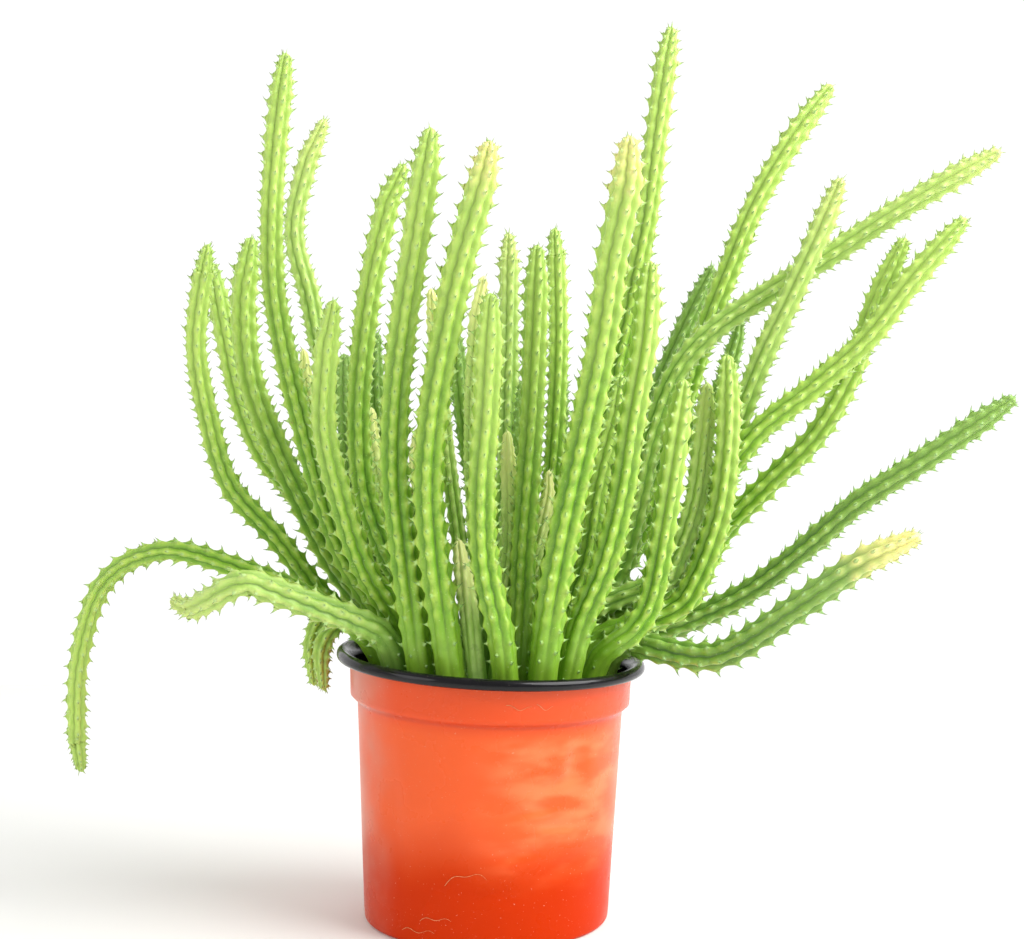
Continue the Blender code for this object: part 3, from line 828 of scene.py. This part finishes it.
def buildPot():
    look = potLook
    top = potHeight - look["lipDepth"] - look["gap"]
    size = look["footRound"]
    foot = arcPoints(look["baseRadius"] - size, size, size, -90.0, -2.0, 6)
    outside = foot + [(wallRadius(z), z) for z in heightsBetween(0.006, top, 84)]
    inside = [(wallRadius(z) - look["sheet"], z) for z in heightsBetween(look["sheet"], top, 40)]
    profile = [(0.0, 0.0), (look["floorRing"], 0.0)] + outside + inside[::-1]
    profile += [(look["floorRing"], look["sheet"]), (0.0, look["sheet"])]
    wall = turnedPiece("potWall", profile, makePotOrange(), ("pot_shell",), 1.0)
    pierce(wall)

    inset = look["sheet"] + look["gap"]
    underLip = potHeight - look["lipDepth"]
    outside = [(wallRadius(z) - inset, z) for z in heightsBetween(inset, underLip, 40)]
    lip = [(rimRadius - 0.0030, underLip)]
    size = look["lipLowRound"]
    lip += arcPoints(rimRadius - size, underLip + size, size, -75.0, 10.0, 9)
    size = look["lipHighRound"]
    lip += arcPoints(rimRadius - size, potHeight - size, size, 12.0, 110.0, 11)
    lip += [(rimRadius - 0.0054, potHeight - 0.0008), (rimRadius - 0.0066, potHeight - 0.0020)]
    innerFloor = inset + look["sheet"]
    inside = [(wallRadius(z) - inset - look["sheet"], z)
              for z in heightsBetween(innerFloor, potHeight - look["liningEnd"], 40)]
    profile = [(0.0, inset), (look["floorRing"], inset)] + outside + lip + inside[::-1]
    profile += [(look["floorRing"], innerFloor), (0.0, innerFloor)]
    lining = turnedPiece("potLining", profile, makePotBlack(), ("pot_lining",), 1.0)
    pierce(lining)
    print("pot built")


# the soil bed, with crumbs and pale grit lying on it

soilLook = {
    "crumbs": 1500,
    "grit": 90,
    "rings": 40,
    "inset": 0.0027,
    "top": 0.1132,
    "roughness": 0.0011,
    "bareEdge": 0.0015,             # no lump lies this close to the lining
}


def makeSoil():
    material, nodes, links, shader = newMaterial("pottingMix")
    mixed = addRange(nodes, links, addNoise(nodes, links, 300.0, 6.0, 0.7), 0.3, 0.72)
    colour = addMix(nodes, links, mixed, fromScreen(38, 27, 20), fromScreen(92, 70, 50))
    pale = addRange(nodes, links, addNoise(nodes, links, 900.0, 3.0), 0.66, 0.74, 0.0, 0.7)
    colour = addMix(nodes, links, pale, colour, fromScreen(150, 126, 98))
    links.new(colour, shader.inputs["Base Color"])
    rough = addRange(nodes, links, addNoise(nodes, links, 500.0, 3.0), 0.3, 0.7, 0.8, 1.0)
    links.new(rough, shader.inputs["Roughness"])
    addBump(nodes, links, shader, addNoise(nodes, links, 1300.0, 5.0), 0.8, 0.0004)
    return material


def makeGrit():
    material, nodes, links, shader = newMaterial("paleGrit")
    cloud = addRange(nodes, links, addNoise(nodes, links, 900.0, 4.0), 0.35, 0.7)
    colour = addMix(nodes, links, cloud, fromScreen(176, 166, 150), fromScreen(232, 226, 214))
    links.new(colour, shader.inputs["Base Color"])
    rough = addRange(nodes, links, addNoise(nodes, links, 600.0, 3.0), 0.3, 0.7, 0.7, 0.95)
    links.new(rough, shader.inputs["Roughness"])
    addBump(nodes, links, shader, addNoise(nodes, links, 2200.0, 4.0), 0.7, 0.0003)
    return material


def lumpMesh(centre, size, start):
    # a small irregular crumb, grown from an eight-sided block
    ways = np.array([[1, 0, 0], [-1, 0, 0], [0, 1, 0], [0, -1, 0], [0, 0, 1], [0, 0, -1],
                     [.6, .6, .6], [-.6, .6, .6], [.6, -.6, .6], [-.6, -.6, .6],
                     [.6, .6, -.6], [-.6, .6, -.6], [.6, -.6, -.6], [-.6, -.6, -.6]])
    stretch = dice.uniform(0.6, 1.25, 3)
    points = ways * dice.uniform(0.75, 1.2, (14, 1)) * stretch * size
    turn = dice.uniform(0.0, math.pi)
    spun = points.copy()
    spun[:, 0] = points[:, 0] * math.cos(turn) - points[:, 1] * math.sin(turn)
    spun[:, 1] = points[:, 0] * math.sin(turn) + points[:, 1] * math.cos(turn)
    faces = []
    for x, y, z, corner in ((0, 2, 4, 6), (1, 2, 4, 7), (0, 3, 4, 8), (1, 3, 4, 9),
                            (0, 2, 5, 10), (1, 2, 5, 11), (0, 3, 5, 12), (1, 3, 5, 13)):
        for one, other in ((x, y), (y, z), (z, x)):
            faces.append([start + one, start + other, start + corner])
    middle = spun.mean(axis=0)
    fixed = []
    for face in faces:
        a, b, c = (spun[index - start] for index in face)
        if np.dot(np.cross(b - a, c - a), (a + b + c) / 3.0 - middle) < 0.0:
            face = face[::-1]
        fixed.append(tuple(face))
    return spun + centre, fixed


def soilHeight(x):
    return soilLook["top"] - potLook["rimSlope"] * x * (soilLook["top"] / potHeight) ** 1.5


def scatterLumps(name, count, sizes, lift, material):
    points = []
    faces = []
    middleX = potLook["wallLean"] * soilLook["top"]
    reach = wallRadius(soilLook["top"]) - soilLook["inset"] - soilLook["bareEdge"]
    for _ in range(count):
        distance = reach * math.sqrt(dice.uniform())
        bearing = dice.uniform(0.0, 2.0 * math.pi)
        x = middleX + distance * math.cos(bearing)
        y = distance * math.sin(bearing)
        size = dice.uniform(*sizes)
        centre = np.array([x, y, soilHeight(x) + size * lift])
        more, moreFaces = lumpMesh(centre, size, len(points))
        points += more.tolist()
        faces += moreFaces
    return newPiece(name, points, faces, material)


def buildSoil():
    look = soilLook
    bottom = 2.0 * (potLook["sheet"] + potLook["gap"])
    side = [(wallRadius(z) - look["inset"], z) for z in heightsBetween(bottom, look["top"], 30)]
    edge = side[-1][0]
    crown = [(edge * (1.0 - step / look["rings"]), look["top"]) for step in range(1, look["rings"])]
    material = makeSoil()
    profile = [(0.0, bottom)] + side + crown + [(0.0, look["top"])]
    bed = turnedPiece("soilBed", profile, material, ("soil",))
    for vertex in bed.data.vertices:
        x, y, z = vertex.co
        if z > look["top"] - 0.006 and math.hypot(x - 0.002, y) < edge - 0.002:
            wave = math.sin(x * 410.0 + 3.0 * math.sin(y * 260.0))
            wave *= math.sin(y * 370.0 + 2.0 * math.sin(x * 330.0))
            vertex.co.z = z + look["roughness"] * wave
    scatterLumps("soilCrumbs", look["crumbs"], (0.0008, 0.0030), 0.25, material)
    scatterLumps("soilGrit", look["grit"], (0.0009, 0.0019), 0.6, makeGrit())
    print("soil laid")


# loose fibres caught on the pot

fibreLook = {
    "radius": 0.00013,
    "corners": 6,
    "steps": 26,
    # bearing, height, length, droop and wave of each hair
    "hairs": ((-109.0, 0.030, 0.020, 0.9, 0.0030), (-84.0, 0.1165, 0.012, -0.4, 0.0016),
              (-121.0, 0.012, 0.016, 0.4, 0.0022), (-72.0, 0.1170, 0.008, -0.9, 0.0010),
              (-131.0, 0.006, 0.018, 0.2, 0.0026), (62.0, 0.050, 0.015, 0.6, 0.0020)),
}


def makeFibre():
    material, nodes, links, shader = newMaterial("coirFibre")
    cloud = addRange(nodes, links, addNoise(nodes, links, 1200.0, 3.0), 0.3, 0.7)
    colour = addMix(nodes, links, cloud, fromScreen(196, 120, 70), fromScreen(238, 178, 124))
    links.new(colour, shader.inputs["Base Color"])
    shader.inputs["Roughness"].default_value = 0.7
    addBump(nodes, links, shader, addNoise(nodes, links, 4000.0, 2.0), 0.4, 0.0001)
    return material


def layFibres():
    points = []
    faces = []
    corners = fibreLook["corners"]
    steps = fibreLook["steps"]
    for bearing, height, length, droop, wave in fibreLook["hairs"]:
        line = []
        for step in range(steps):
            part = step / (steps - 1)
            level = (height + droop * length * 0.35 * math.sin(part * 2.6)
                     + wave * math.sin(part * 9.0) * 0.4)
            turn = math.radians(bearing) + length * part / wallRadius(height)
            line.append(np.array(potPoint(wallRadius(level) + 0.0002, turn, level, 1.0)))
        line = np.array(line)
        along = unit(np.gradient(line, axis=0))
        up = np.tile(np.array([0.0, 0.0, 1.0]), (steps, 1))
        side = unit(np.cross(along, up))
        up = np.cross(side, along)
        first = len(points)
        for step in range(steps):
            thin = fibreLook["radius"] * (1.0 - 0.6 * step / steps)
            for corner in range(corners):
                angle = 2.0 * math.pi * corner / corners
                around = side[step] * math.cos(angle) + up[step] * math.sin(angle)
                points.append(line[step] + thin * around)
        faces += gridFaces(steps, corners, first)
        faces.append(tuple(range(first, first + corners))[::-1])
        last = first + (steps - 1) * corners
        faces.append(tuple(range(last, last + corners)))
    newPiece("coirHairs", points, faces, makeFibre())
    print("fibres laid")


# floor, light and camera

studio = {
    "floorAhead": 3.0,
    "floorBehind": 0.62,
    "floorAside": 3.0,
    "floorColour": fromScreen(246, 246, 243),
    # the surroundings brighten from the front to the back
    "frontGlow": 0.50,
    "backGlow": 1.06,
    "keyPlace": (0.95, -0.35, 1.05),
    "keySize": 1.3,
    "keyPower": 28.0,
    "fillPlace": (-1.1, -0.7, 0.5),
    "fillSize": 0.9,
    "fillPower": 4.0,
    "lightTarget": (0.0, 0.0, 0.2),
    "lens": 72.4,
    "sensor": 36.0,
    "cameraDistance": 1.0,
    "cameraHeight": 0.296,
    "cameraPitch": 2.2,
    "shiftX": 0.0254,
    "shiftY": -0.078,
}


def buildFloor():
    aside, ahead, behind = studio["floorAside"], studio["floorAhead"], studio["floorBehind"]
    mesh = bpy.data.meshes.new("floor")
    corners = [(-aside, -ahead, 0.0), (aside, -ahead, 0.0),
               (aside, behind, 0.0), (-aside, behind, 0.0)]
    mesh.from_pydata(corners, [], [(0, 1, 2, 3)])
    material, _, _, shader = newMaterial("floorPaper")
    shader.inputs["Base Color"].default_value = studio["floorColour"]
    shader.inputs["Roughness"].default_value = 0.9
    mesh.materials.append(material)
    floor = bpy.data.objects.new("floor", mesh)
    bpy.context.scene.collection.objects.link(floor)


def addSoftLight(name, place, size, power):
    data = bpy.data.lights.new(name, "AREA")
    data.shape = "DISK"
    data.size = size
    data.energy = power
    light = bpy.data.objects.new(name, data)
    bpy.context.scene.collection.objects.link(light)
    light.location = place
    away = Vector(studio["lightTarget"]) - Vector(place)
    light.rotation_euler = away.to_track_quat("-Z", "Y").to_euler()


def buildStudio():
    buildFloor()
    addSoftLight("keyLight", studio["keyPlace"], studio["keySize"], studio["keyPower"])
    addSoftLight("fillLight", studio["fillPlace"], studio["fillSize"], studio["fillPower"])
    world = bpy.data.worlds.new("softSky")
    bpy.context.scene.world = world
    world.use_nodes = True
    nodes = world.node_tree.nodes
    links = world.node_tree.links
    place = nodes.new("ShaderNodeTexCoord")
    split = nodes.new("ShaderNodeSeparateXYZ")
    links.new(place.outputs["Generated"], split.inputs["Vector"])
    glow = addRange(nodes, links, split.outputs["Y"], -0.3, 0.75,
                    studio["frontGlow"], studio["backGlow"])
    sky = nodes["Background"]
    sky.inputs["Color"].default_value = (1.0, 1.0, 1.0, 1.0)
    links.new(glow, sky.inputs["Strength"])
    bpy.context.scene.view_settings.view_transform = "Standard"
    data = bpy.data.cameras.new("camera")
    data.lens = studio["lens"]
    data.sensor_width = studio["sensor"]
    data.shift_x = studio["shiftX"]
    data.shift_y = studio["shiftY"]
    camera = bpy.data.objects.new("camera", data)
    camera.location = (0.0, -studio["cameraDistance"], studio["cameraHeight"])
    camera.rotation_euler = (math.radians(90.0 - studio["cameraPitch"]), 0.0, 0.0)
    bpy.context.scene.collection.objects.link(camera)
    bpy.context.scene.camera = camera
    print("studio ready")


buildPot()
buildSoil()
layFibres()
growPlant()
buildStudio()
